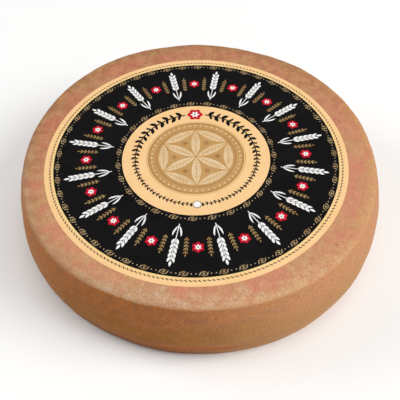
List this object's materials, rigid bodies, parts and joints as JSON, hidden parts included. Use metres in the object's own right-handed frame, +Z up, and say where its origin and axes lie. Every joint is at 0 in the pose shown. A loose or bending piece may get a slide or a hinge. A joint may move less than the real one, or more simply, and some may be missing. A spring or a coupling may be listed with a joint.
{
  "type": "raclette cheese wheel",
  "caption": "Whole wheel of raclette cheese: a low drum with a flat top and base, a bulging washed-rind side, rounded rims and a round printed paper label stuck on top.",
  "frame": {"origin": "on the resting surface, under the middle of the wheel's width and depth", "axes": "+Z up through the wheel, out of the labelled face; +X to the right and +Y to the back as the picture shows the wheel"},
  "size_m": [0.3034, 0.3066, 0.0717],
  "materials": {
    "washed_rind": "dry, finely pitted, mottled pink to tan",
    "label_paper": "thin coated paper with a satin print"
  },
  "bodies": {
    "root": {"wheel": "washed_rind", "label": "label_paper"}
  },
  "joints": []
}
